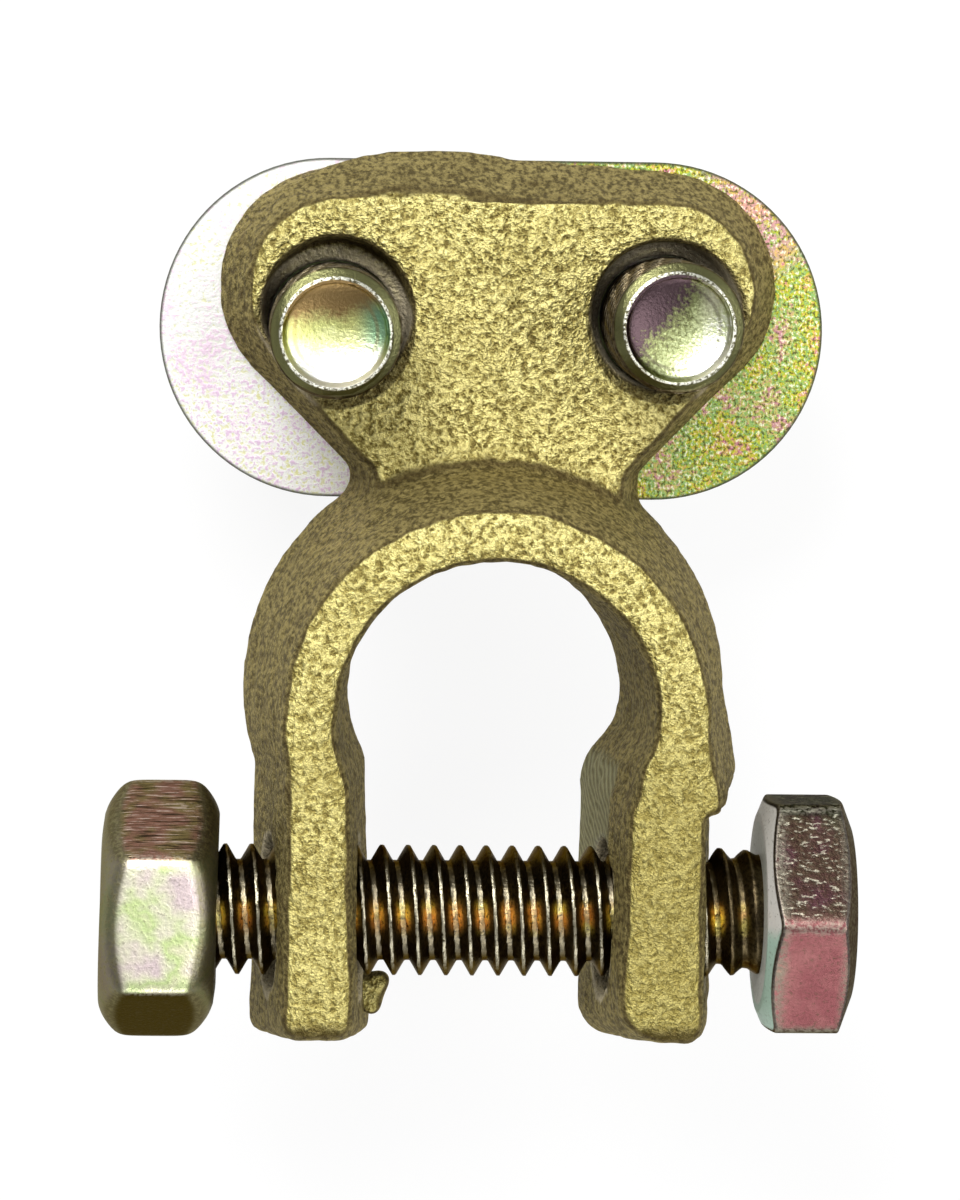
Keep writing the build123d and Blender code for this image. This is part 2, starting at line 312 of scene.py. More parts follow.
@dataclass(frozen=True)
class CastBrass:
    """Sand-cast brass: bright grainy faces with darker grain between, olive brown walls darkened by
    painted shade, and painted shade in the hollows and on the rims.
    """

    bright: Colour = (0.76, 0.675, 0.270)
    middle: Colour = (0.38, 0.32, 0.100)
    crease: Colour = (0.17, 0.130, 0.038)
    darker_low: Colour = (0.25, 0.205, 0.055)
    wall: Colour = (0.070, 0.054, 0.020)
    wall_light: Colour = (0.27, 0.220, 0.085)
    # Dark brown for the walls' pits, and for the painted shade on the rims, in the hollows, round the
    # pockets and at the jaws' ends.
    edge: Colour = (0.055, 0.037, 0.014)
    pocket_light: Colour = (0.62, 0.54, 0.38)
    sawn: Colour = (0.25, 0.25, 0.15)
    sawn_dark: Colour = (0.11, 0.105, 0.06)
    rim: Colour = (0.60, 0.50, 0.22)
    lump_mm: float = 0.36
    fine_mm: float = 0.15
    fold_mm: float = 0.62
    patch_mm: float = 4.5
    streak_mm: float = 0.26
    pit_mm: float = 0.60
    stroke_mm: float = 1.05
    bump_mm: float = 0.42

    def make(self) -> Material:
        """Builds the material.

        Returns:
            The material.
        """
        g = Graph("cast_brass")
        fine = g.noise(self.fine_mm, 3)
        grain = g.noise(self.lump_mm, 2) * 0.55 + fine * 0.29 + g.crumple(self.fold_mm, 3) * 0.16
        # The faces: bright grain, dull patches, darker towards the bottom and on the right jaw, and
        # painted shade at the jaws' rounded near ends.
        face = g.coated(
            self.crease,
            (grain.step(0.33, 0.45), self.middle),
            (grain.step(0.40, 0.54), self.bright),
            (g.noise(self.patch_mm, 2).step(0.40, 0.66) * 0.30, self.middle),
            (g.y.step(14, -4) * 0.34, self.darker_low),
            (g.y.step(4, -6) * g.x.step(1, 7) * 0.55, self.darker_low),
            # Painted shade on the jaws' rounded near ends.
            (g.y.step(-14.2, -14.9) * g.z.step(12, 13) * 0.80, self.edge),
        )
        streaks = g.noise(self.streak_mm, 5, (1.0, 1.0, 0.50)) * 0.75 + fine * 0.25
        pitted = g.noise(self.pit_mm, 4, (1.0, 0.8, 0.40)).step(0.52, 0.64)
        # Painted shade: the walls are painted far darker than the faces, partly their own duller cast
        # brown and partly the shade of surfaces that face away from the light.
        shaded_walls = g.coated(
            self.wall,
            (streaks.step(0.40, 0.59), self.wall_light),
            (pitted * g.nx.magnitude().step(0.55, 0.90) * 0.55, self.edge),
        )
        level = g.nz.step(0.70, 0.90)
        # Painted shade: a dark ring round each pocket's mouth on the level face.
        pocket_rim_shade = []
        for seat in SEATS:
            ring = g.radius(Axis.Z, seat).step(SEAT_RADIUS + 0.26, SEAT_RADIUS + 0.10)
            pocket_rim_shade.append((ring * level * g.z.step(3, 4) * 0.75, self.edge))
        recess = g.layer("recess")
        # Slanting saw strokes on the inner wall of the head's jaw.
        sawn_wall = g.nx.step(-0.7, -0.9) * g.x.step(3.5, 4.5)
        cut = sawn_wall * g.y.step(-2.4, -3.2) * g.y.step(-10.0, -8.5) * g.z.step(9.6, 8.4)
        strokes = ((g.y * 1.9 + g.z) * (TAU / self.stroke_mm) + g.noise(1.2) * 4).sine() * 0.5 + 0.5
        # Painted shade on the rims, in the hollows and in rings round the pockets; painted light, pale
        # grey, inside them; then the saw cut.
        colour = g.coated(
            g.mix(level, shaded_walls, face),
            # Painted shade where the surface rounds from face to wall.
            (g.nz.step(0.40, 0.62) * g.nz.step(0.90, 0.76) * 0.6, self.edge),
            # Painted shade in the concave hollows of the skin.
            (g.layer("hollow_shade").step(0.15, 0.85) * 0.65, self.edge),
            *pocket_rim_shade,
            # Painted light: the recesses inside the pockets and the hole are painted pale grey-brown to
            # lift their shade.
            (recess * 0.70, self.pocket_light),
            (cut * 0.85, g.mix(strokes, self.sawn_dark, self.sawn)),
        )
        height = grain * (1 - cut * 0.8) + strokes * cut * 0.12
        rough = 0.40 + (1 - level) * 0.18 + fine * 0.10
        metal = (0.50 + level * 0.42) * (1 - recess * 0.75)
        return g.finish(colour, rough, height, self.bump_mm, metal, self.rim)


@dataclass(frozen=True)
class ZincPlate:
    """Yellow zinc on flat steel: one end painted pale as a reflection of the light, speckled green,
    yellow and pink at the other.
    """

    centre: Pair = (0.18, 17.88)
    half_spacing: float = 8.1
    half_width: float = 8.4
    rosy_centre: Pair = (13.0, 23.8)
    bands: Stops = (
        (0.36, (0.56, 0.20, 0.27)),
        (0.42, (0.66, 0.48, 0.10)),
        (0.48, (0.44, 0.50, 0.028)),
        (0.53, (0.22, 0.42, 0.15)),
        (0.59, (0.54, 0.50, 0.12)),
        (0.65, (0.54, 0.26, 0.28)),
    )

    def make(self) -> Material:
        """Builds the material.

        Returns:
            The material.
        """
        g = Graph("plated_plate")
        drift = (g.noise(2.6, 3) - 0.5) * 1.5 + 0.5
        speck = g.noise(0.25, 3)
        tint = g.ramp(drift * 0.50 + speck * 0.50, self.bands)
        cast = drift * 0.35 + speck * 0.65
        # The pale end is a painted reflection of the light; its speckle, with more of it low down, is the
        # plating's own.
        low = g.y.step(18.5, 13.5) * 0.6
        pale = g.coated(
            (0.86, 0.86, 0.82),
            (cast.step(0.50, 0.60), (0.82, 0.66, 0.76)),
            (cast.step(0.42, 0.36), (0.80, 0.80, 0.52)),
            (speck.step(0.53, 0.60) * low, (0.62, 0.44, 0.62)),
            (speck.step(0.46, 0.39) * low, (0.72, 0.70, 0.30)),
        )
        from_x, from_y = g.x - self.rosy_centre[0], g.y - self.rosy_centre[1]
        rosy = (from_x * from_x + from_y * from_y).step(16.0, 1.5) * speck.step(0.38, 0.56)
        dots = g.noise(0.17, 1).step(0.58, 0.68)
        flecks = g.noise(0.15, 2, (1.0, 0.75, 1.0))
        coloured = g.x.step(-4, 8)
        # How far a point lies inside the plate's outline.
        over = ((g.x - self.centre[0]).magnitude() - self.half_spacing).most(0)
        across = g.y - self.centre[1]
        inside = self.half_width - (over * over + across * across).root()
        colour = g.coated(
            pale,
            # Painted reflection: the pale end gives way to the plating's tints along x.
            (g.x.step(-6, 6), tint),
            (rosy * 0.85, (0.60, 0.27, 0.32)),
            (dots * g.x.step(-12, 4) * 0.55, (0.20, 0.17, 0.14)),
            (flecks.step(0.47, 0.37) * coloured * 0.90, (0.10, 0.10, 0.03)),
            (flecks.step(0.55, 0.66) * coloured * 0.75, (0.95, 0.93, 0.70)),
            # Painted shade: a dark line along the plate's outline, where its edge turns away.
            (inside.step(0.20, 0.04) * 0.92, (0.055, 0.060, 0.040)),
        )
        return g.finish(colour, 0.36 + speck * 0.15, speck, 0.015)


@dataclass(frozen=True)
class ZincHex:
    """Yellow zinc on a hex: painted shade and reflection on the flats facing up and down, on the chamfers
    and on the bearing face, with scratches and worn corners.
    """

    name: str
    stops: Stops
    upper: tuple[Colour, Colour]
    lower: Colour
    chamfer: Colour = (0.115, 0.105, 0.060)
    # Colours painted on the bearing face as its reflection, above and below the axis.
    bearing: Optional[tuple[Colour, Colour]] = None
    pale: Colour = (0.62, 0.50, 0.42)
    scratch: tuple[float, float, float] = (0.10, 1.0, 1.0)
    mark_mm: float = 0.42
    frame_mm: Optional[tuple[float, float, float]] = None
    rim: Colour = (0.55, 0.50, 0.40)

    def make(self) -> Material:
        """Builds the material.

        Returns:
            The material.
        """
        g = Graph(self.name)
        marks = g.noise(self.mark_mm, 4, self.scratch)
        pits = g.noise(0.20, 4)
        upper_shade_and_scratches = g.coated(
            self.upper[0],
            (g.noise(2.0, 2).step(0.44, 0.62), self.upper[1]),
            (marks.step(0.50, 0.62) * 0.85, (0.022, 0.017, 0.011)),
            (marks.step(0.44, 0.36) * 0.75, self.pale),
        )
        # Painted shade and reflection: the flats facing up take the upper colours with their scratches,
        # those facing down the lower colour.
        upward = g.ny.step(0.30, 0.62)
        coats = [(upward, upper_shade_and_scratches), (g.ny.step(-0.45, -0.75), self.lower)]
        if self.frame_mm is not None:
            centre, inner, outer = self.frame_mm
            border = (g.x - centre).magnitude().step(inner, outer) * pits.step(0.34, 0.52)
            coats.append((border * 0.75, (0.17, 0.155, 0.12)))
        along = g.nx.magnitude()
        bright = (self.chamfer[0] * 2.2, self.chamfer[1] * 2.2, self.chamfer[2] * 2.0)
        # Painted shade: the chamfers and their rounded edges are darkened where the surface faces along
        # the axis.
        coats.append((along.step(0.06, 0.34) * 0.88, self.chamfer))
        coats.append((along.step(0.10, 0.40) * pits.step(0.46, 0.62) * 0.7, bright))
        metal: Operand = 1.0
        if self.bearing is not None:
            # Painted reflection on the bearing face: one colour above the axis, another below.
            under = g.nx.step(-0.84, -0.91)
            coats.append((under, g.mix(g.ny.step(0.02, -0.05), *self.bearing)))
            metal = 1 - under * 0.75
        coats.append((pits.step(0.56, 0.68) * 0.45, (0.09, 0.075, 0.045)))
        coats.append((g.layer("worn") * pits.step(0.38, 0.58) * 0.4, (0.46, 0.43, 0.34)))
        colour = g.coated(g.ramp(g.noise(3.4, 3), self.stops), *coats)
        height = marks * upward * 0.55 + pits * 0.45
        return g.finish(colour, 0.30 + pits * 0.22, height, 0.06, metal, self.rim)


@dataclass(frozen=True)
class ZincThread:
    """Yellow zinc on a thread: thin pale crests, worn and with a painted highlight, brown flanks, and a
    painted gold highlight deep in the roots.
    """

    name: str
    axis: Axis
    centre_mm: Pair
    crest: Colour = (0.36, 0.33, 0.24)
    flank: Colour = (0.120, 0.092, 0.048)
    dark: Colour = (0.045, 0.033, 0.018)
    highlight_gold: Colour = (0.92, 0.76, 0.22)
    highlight_copper: Colour = (0.84, 0.50, 0.18)
    cup_dark: Colour = (0.24, 0.16, 0.065)
    cup_middle: Colour = (0.50, 0.52, 0.19)
    cup_light: Colour = (0.80, 0.82, 0.42)
    cup_side: Colour = (0.10, 0.32, 0.22)
    cup_lit_way: Pair = (0.10, -0.99)
    cup_span_mm: float = 5.2
    cup_speck: float = 0.15
    cup_stops: tuple[float, float, float, float] = (0.22, 0.38, 0.52, 0.70)
    rim: Colour = (0.42, 0.36, 0.24)

    def tip(self, g: Graph, reach: Val, drift: Val, pits: Val) -> list[Coat]:
        """Coats of the bolt's tip: its shoulder, its rim with painted glints, and its cup painted with
        light and shade.

        Args:
            g: the material.
            reach: distance from the axis.
            drift: broad noise.
            pits: fine noise.

        Returns:
            The coats, from the lowest up.
        """
        # Painted light and shade in the cup: a ramp from dark on one side to near white on the lit side,
        # with a side patch and a dark inner ring.
        east = g.x - self.centre_mm[0]
        across = (g.y - self.centre_mm[1]) * self.cup_lit_way[1]
        toward_light = (across + east * self.cup_lit_way[0]) * (1 / self.cup_span_mm) + 0.5
        place = toward_light * 0.85 + (drift - 0.5) * 0.30 + (pits - 0.5) * self.cup_speck
        colours = (self.cup_dark, self.cup_middle, self.cup_light, (0.98, 0.97, 0.92))
        beside = east.step(0.7, 2.0) * toward_light.step(0.80, 0.55) * toward_light.step(0.16, 0.40)
        cup = g.coated(
            g.ramp(place, list(zip(self.cup_stops, colours))),
            (beside * 0.75, self.cup_side),
            (reach.step(1.85, 1.95) * reach.step(2.12, 2.02) * 0.45, self.cup_dark),
        )
        end = g.z.step(9.9, 10.2)
        edge = end * reach.step(2.74, 2.68)
        return [
            (end * reach.step(3.16, 3.05), (0.15, 0.15, 0.065)),
            (edge, (0.14, 0.13, 0.075)),
            # Painted highlight: bright glints, broken by pits, along the tip's rim.
            (edge * pits.step(0.42, 0.54), (0.80, 0.80, 0.68)),
            (end * reach.step(2.60, 2.54), cup),
        ]

    def make(self) -> Material:
        """Builds the material.

        Returns:
            The material.
        """
        g = Graph(self.name)
        drift = g.noise(1.6, 3)
        pits = g.noise(0.16, 4)
        reach = g.radius(self.axis, self.centre_mm)
        root = THREAD_RADIUS - THREAD_DEPTH
        coats = [((pits * 0.5 + drift * 0.5).step(0.40, 0.58), self.flank)]
        shown: Operand = 0.35
        if self.axis is Axis.X:
            off_middle = (g.y - self.centre_mm[0]).magnitude()
            # Painted highlight: gold and copper in the roots, with a pale line at their bottom, along the
            # top of the shank.
            root_highlight = off_middle.step(1.05, 0.15) * reach.step(root + 0.50, root + 0.08)
            highlight_tint = g.mix(drift.step(0.42, 0.58), self.highlight_gold, self.highlight_copper)
            root_line_highlight = reach.step(root + 0.05, root + 0.005) * off_middle.step(2.3, 1.6)
            coats += [(root_highlight * pits.step(0.30, 0.52), highlight_tint), (root_line_highlight * 0.35, self.crest)]
            # Painted highlight: on the clamp bolt the pale crests show only along the top of the shank.
            shown = off_middle.step(2.9, 1.9)
        crests = reach.step(THREAD_RADIUS - 0.04, THREAD_RADIUS - 0.008)
        coats.append((crests * shown * pits.step(0.30, 0.50), self.crest))
        if self.axis is Axis.Z:
            coats += self.tip(g, reach, drift, pits)
        colour = g.coated(self.dark, *coats)
        return g.finish(colour, 0.24 + pits * 0.16, pits, 0.03, 1.0, self.rim)


def ease(value: Array, low: float, high: float) -> Array:
    """Smooth rise from 0 to 1.

    Formula: three times the square less twice the cube of the share of the way from low to high.

    Args:
        value: what rises.
        low: where the result is 0.
        high: where the result is 1; it may be below low.

    Returns:
        Shares from 0 to 1.
    """
    share = np.clip((value - low) / (high - low), 0, 1)
    return share * share * (3 - 2 * share)


def soft_least(a: Array, b: Array, sharpness: float = 14.0) -> Array:
    """Lesser of two lengths with a small round where they cross.

    Formula: minus the log of the sum of the two exponentials of minus the lengths, over sharpness.

    Args:
        a: one length.
        b: the other length.
        sharpness: per millimetre; higher is sharper.

    Returns:
        The blended lesser length.
    """
    return -np.logaddexp(-sharpness * a, -sharpness * b) / sharpness


def hex_radius(angle: Array, across: float, first_corner: float) -> Array:
    """Outline of a hexagon with soft corners about its centre.

    Formula: for the two nearest flats, half the width across flats over the cosine of the angle from
    the flat's normal; the softened lesser of the two.

    Args:
        angle: direction, in radians.
        across: width across flats.
        first_corner: direction of one corner, in radians.

    Returns:
        Distance from the centre to the outline.
    """
    sector = TAU / 6
    from_flat = (angle - first_corner) % sector - sector / 2
    nearest = across / 2 / np.cos(from_flat)
    other = across / 2 / np.cos(sector - np.abs(from_flat))
    return soft_least(nearest, other, CORNER_SHARPNESS)


def corner_wear(radius: Array, across: float) -> Array:
    """How worn a hex is at its corners.

    Formula: a smooth rise of the radius between just short of the soft corner and the corner.

    Args:
        radius: distances from the axis.
        across: width across flats.

    Returns:
        Shares from 0 to 1.
    """
    corner = across / 2 / math.cos(TAU / 12)
    return ease(radius, corner - 0.24, corner - 0.13)


def thread_radius(along: Array, angle: Array, phase: float) -> Array:
    """Radius of a right-hand sixty-degree thread.

    Formula: the distance from the nearest crest, which winds one pitch per turn, less the half width
    of the flat crest, times the slope of the flank, taken off the outside radius down to the root.

    Args:
        along: position along the axis.
        angle: direction, right-handed about the axis.
        phase: position of a crest at angle 0.

    Returns:
        Distance from the axis.
    """
    turns = (along - phase) / PITCH - angle / TAU
    off_crest = np.abs(turns - np.round(turns)) * PITCH
    cut = np.clip((off_crest - PITCH / 16) * math.tan(math.radians(60)), 0, THREAD_DEPTH)
    return THREAD_RADIUS - cut


def placed(name: str, data: Any) -> Piece:
    """New object of a name in the scene, from a mesh, a lamp or a camera."""
    made = bpy.data.objects.new(name, data)
    bpy.context.scene.collection.objects.link(made)
    return made


def turned_mesh(name: str, rows: Array, material: Material, ends: bool = True) -> Piece:
    """Closed mesh from rows of points round an axis.

    The grid's points are joined by four-sided faces round and along; each end row is closed by a fan
    to its own middle, or the last row is joined to the first.

    Args:
        name: the piece's name.
        rows: points in millimetres, as (rows, points in a row, 3).
        material: its finish.
        ends: whether the ends are closed by fans; if not, the rows wrap round.

    Returns:
        The object, at the origin.
    """
    count, round_count = rows.shape[:2]
    points = rows.reshape(-1, 3)
    index = np.arange(count * round_count).reshape(count, round_count)
    after = index if not ends else index[:-1]
    below = np.roll(index, -1, axis=0) if not ends else index[1:]
    right, below_right = np.roll(after, -1, axis=1), np.roll(below, -1, axis=1)
    faces = np.stack([after, right, below_right, below], -1).reshape(-1, 4).tolist()
    if ends:
        middles = np.stack([rows[0].mean(0), rows[-1].mean(0)])
        points = np.concatenate([points, middles])
        for ring, pole in ((index[0], len(points) - 2), (index[-1], len(points) - 1)):
            pole_column = np.full(round_count, pole)
            faces += np.stack([ring, np.roll(ring, -1), pole_column], -1).tolist()
    mesh = bpy.data.meshes.new(name)
    mesh.from_pydata((points * MM).tolist(), [], faces)
    work = bmesh.new()
    work.from_mesh(mesh)
    bmesh.ops.recalc_face_normals(work, faces=work.faces)
    work.to_mesh(mesh)
    work.free()
    mesh.polygons.foreach_set("use_smooth", np.ones(len(mesh.polygons), bool))
    mesh.set_sharp_from_angle(angle=SHARP_EDGE)
    mesh.materials.append(material)
    return placed(name, mesh)


def add_layer(mesh: bpy.types.Mesh, name: str, values: Array) -> None:
    """Gives each point of the mesh a value that its material reads under a name."""
    layer = mesh.attributes.new(name, "FLOAT", "POINT")
    layer.data.foreach_set("value", values.astype(np.float32))


def along_axis(axis: Axis, centre: Pair, along: Array, radius: Array, angle: Array) -> Array:
    """Points at a radius and angle about an axis.

    Formula: the centre plus radius times cosine and sine of the angle, right-handed about the axis.

    Args:
        axis: direction of the axis.
        centre: where the axis passes, as (y, z) for X and (x, y) for Z.
        along: position along the axis.
        radius: distance from the axis.
        angle: direction in radians.

    Returns:
        Points as (..., 3), in millimetres.
    """
    a = centre[0] + radius * np.cos(angle)
    b = centre[1] + radius * np.sin(angle)
    along = np.broadcast_to(along, a.shape)
    return np.stack([along, a, b] if axis is Axis.X else [a, b, along], -1)


@dataclass
class Screw:
    """A hex bolt: threaded shank with a cupped tip, and a chamfered hex head."""

    node: str
    axis: Axis
    centre: Pair
    bearing: float
    toward_tip: int
    length: float
    neck: float
    thread_finish: ZincThread
    head_finish: ZincHex
    first_corner: float
    crest_at: float = 0.0
    across: float = ACROSS_FLATS
    head_height: float = 4.4
    tip_chamfer: float = 0.5
    rim_width: float = 0.12
    cup_depth: float = 0.9
    lip_share: float = 0.30
    neck_cut: float = 0.22
    run_out: float = 2.4
    in_head: float = 1.0
    face_share: Pair = (0.88, 0.79)
    chamfer: Pair = (23.0, 21.0)
    shank_around: int = 96
    rows_per_pitch: int = 20
    cup_rows: int = 30
    head_around: int = 192
    head_rows: int = 70
    cap_rows: int = 10

    def shank(self) -> Piece:
        """Threaded shank.

        Formula: the thread's radius over the length, never more than the chamfer's cone at the tip,
        and brought out from the plain neck over the run-out; the tip ends in a rim and a round cup
        with a steep lip.

        Returns:
            The shank.
        """
        angle = np.linspace(0, TAU, self.shank_around, endpoint=False)[None, :]
        row_count = int((self.length + self.in_head) / PITCH * self.rows_per_pitch)
        out = np.linspace(-self.in_head, self.length, row_count)[:, None]
        place = self.bearing + self.toward_tip * out
        radius = thread_radius(place, angle, self.crest_at)
        into_thread = np.clip((out - self.neck) / self.run_out, 0, 1)
        plain = THREAD_RADIUS - self.neck_cut
        radius = plain + (radius - plain) * into_thread
        cone = THREAD_RADIUS - np.clip(out - (self.length - self.tip_chamfer), 0, None)
        radius = np.minimum(radius, cone)
        side = along_axis(self.axis, self.centre, place, radius, angle)
        rim = THREAD_RADIUS - self.tip_chamfer - self.rim_width
        share = np.linspace(1.0, 0.04, self.cup_rows)[:, None]
        bowl = np.sqrt(np.clip(1 - share**2, 0, 1))
        lip = ease(share, 1.0, 0.93)
        depth = self.cup_depth * (self.lip_share * lip + (1 - self.lip_share) * bowl)
        cup_place = self.bearing + self.toward_tip * (self.length - depth)
        cup = along_axis(self.axis, self.centre, cup_place, rim * share + 0 * angle, angle + 0 * share)
        rows = np.concatenate([side, cup])
        return turned_mesh(f"{self.node}_shank", rows, self.thread_finish.make())

    def head(self) -> Piece:
        """Hex head.

        Formula: the hexagon's outline, softly cut at each end by a cone that starts from a circle
        within the flats, and closed by rings inwards; the value worn rises towards the corners.

        Returns:
            The head.
        """
        angle = np.linspace(0, TAU, self.head_around, endpoint=False)[None, :]
        turn = np.linspace(0, math.pi, self.head_rows)[:, None]
        height = self.head_height * (1 - np.cos(turn)) / 2
        outline = hex_radius(angle, self.across, self.first_corner)
        circles = [self.across / 2 * share for share in self.face_share]
        slopes = [math.tan(math.radians(degrees)) for degrees in self.chamfer]
        under = circles[0] + height / slopes[0]
        outer = circles[1] + (self.head_height - height) / slopes[1]
        radius = soft_least(soft_least(outline, under + 0 * angle), outer + 0 * angle)
        place = self.bearing - self.toward_tip * height
        side = along_axis(self.axis, self.centre, place, radius, angle)
        share = np.linspace(0.05, 1, self.cap_rows, endpoint=False)[:, None]
        caps = []
        for row, order in ((0, share), (-1, share[::-1])):
            ring = order * radius[row][None, :]
            caps.append(along_axis(self.axis, self.centre, place[row][None, :], ring, angle + 0 * order))
        rows = np.concatenate([caps[0], side, caps[1]])
        piece = turned_mesh(f"{self.node}_head", rows, self.head_finish.make())
        worn = corner_wear(radius, self.across)
        none = np.zeros(self.cap_rows * self.head_around)
        add_layer(piece.data, "worn", np.concatenate([none, worn.ravel(), none, [0, 0]]))
        return piece

    def build(self) -> list[Piece]:
        """Builds the bolt and puts it in place of its node.

        Returns:
            Its two pieces.
        """
        pieces = [self.shank(), self.head()]
        for piece in pieces:
            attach(piece, self.node)
            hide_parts(self.node)
            log.info("%s: %d faces", piece.name, len(piece.data.polygons))
        return pieces


@dataclass
class Nut:
    """Hex nut with both ends chamfered and a bore, hanging a little askew on its thread."""

    finish: ZincHex
    outer_face: float = -18.75
    thickness: float = 5.56
    centre: Pair = CLAMP_AXIS
    across: float = ACROSS_FLATS
    bore: float = 3.235
    bevel: float = 0.45
    face_share: float = 0.885
    chamfer: float = 31.0
    rim_round: float = 0.30
    rim_reach: float = 0.12
    rim_sharpness: float = 2.6
    lean: float = 0.030
    around: int = 192
    side_rows: int = 80
    face_rows: int = 7

    def build(self) -> Piece:
        """Builds the nut.

        Formula: the hexagon's outline softly cut by a cone at each end, whose rim is rounded by a
        fading exponential, then inwards over the end face, back through the bore and out again;
        outside the bore every point moves along the axis by its Y over the axis times the lean.

        Returns:
            The nut.
        """
        angle = np.linspace(0, TAU, self.around, endpoint=False)[None, :]
        turn = np.linspace(0, math.pi, self.side_rows)[:, None]
        height = self.thickness * (1 - np.cos(turn)) / 2
        nearest = np.minimum(height, self.thickness - height)
        outline = hex_radius(angle, self.across, 0.0)
        rounded = self.rim_round * np.exp(-nearest / self.rim_reach)
        face = self.across / 2 * self.face_share
        cone = face + nearest / math.tan(math.radians(self.chamfer)) - rounded + 0 * angle
        radius = soft_least(outline, cone, self.rim_sharpness)
        mouth = self.bore + self.bevel
        share = np.linspace(1, 0, self.face_rows + 1)[1:, None]
        flats = mouth + (radius[-1] - mouth)[None, :] * share
        back = mouth + (radius[0] - mouth)[None, :] * share[::-1]
        radii = np.concatenate([radius, flats, np.full((2, self.around), self.bore), back])
        ends = [
            height, np.full((self.face_rows, 1), self.thickness),
            np.array([self.thickness - self.bevel, self.bevel])[:, None], np.zeros((self.face_rows, 1)),
        ]
        place = self.outer_face + np.concatenate(ends) + 0 * radii
        place += self.lean * radii * np.cos(angle) * ease(radii, self.bore + 0.2, self.bore + 1.6)
        rows = along_axis(Axis.X, self.centre, place, radii, angle + 0 * place)
        piece = turned_mesh("clamp_nut_hex", rows, self.finish.make(), ends=False)
        worn = corner_wear(radii, self.across)
        worn[self.side_rows:] = 0
        add_layer(piece.data, "worn", worn.ravel())
        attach(piece, "clamp_nut")
        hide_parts("clamp_nut")
        log.info("%s: %d faces", piece.name, len(piece.data.polygons))
        return piece


@dataclass
class FlashLump:
    """Lump of casting flash left on the inner face of the nut's jaw."""

    centre: Place = (-5.75, -14.62, 4.3)
    reach: Place = (1.15, 1.15, 0.95)
    core: float = 0.72
    wave: float = 0.03
    swells: tuple[tuple[Place, float], ...] = (
        ((0.75, 0.60, 0.25), 0.40), ((0.25, -0.80, 0.55), 0.46),
    )
    spread: float = 0.30
    around: int = 64
    row_count: int = 48

    def build(self, finish: Material) -> Piece:
        """Builds the lump.

        Formula: over latitude and longitude, the core's radius with smooth swellings about two
        directions, each the exponential of minus the squared distance, and three low waves round it.

        Args:
            finish: the casting's material.

        Returns:
            The lump.
        """
        turn = np.linspace(0, TAU, self.around, endpoint=False)[None, :]
        lift = np.linspace(0.03, math.pi - 0.03, self.row_count)[:, None]
        way = np.stack([
            np.sin(lift) * np.cos(turn), np.cos(lift) + 0 * turn, np.sin(lift) * np.sin(turn),
        ], -1)
        size = self.core + self.wave * np.sin(3 * turn + 1.3) * np.sin(lift)
        for ball, swell in self.swells:
            apart = ((way - np.array(ball)) ** 2).sum(-1)
            size = size + swell * np.exp(-apart / self.spread)
        rows = np.array(self.centre) + way * size[..., None] * np.array(self.reach)
        piece = turned_mesh("casting_flash", rows, finish)
        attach(piece, "terminal_body")
        log.info("%s: %d faces", piece.name, len(piece.data.polygons))
        return piece


def uneven(points: Array, length: float, seed: int, waves: int = 40) -> Array:
    """Smooth random height at points.

    Formula: the sum of plane sine waves in random directions, with lengths spread about the one
    given, over the root of half their number, which makes the usual height 1.

    Args:
        points: points as (count, 3), in millimetres.
        length: usual length of a wave in millimetres.
        seed: seed of the random directions.
        waves: number of waves.

    Returns:
        Heights as (count,).
    """
    draw = np.random.default_rng(seed)
    ways = draw.normal(size=(waves, 3))
    ways /= np.linalg.norm(ways, axis=1, keepdims=True)
    lengths = length * draw.uniform(0.7, 1.5, waves)
    turns = points @ (ways / lengths[:, None]).T + draw.uniform(0, 1, waves)
    return np.sin(TAU * turns).sum(1) / math.sqrt(waves / 2)


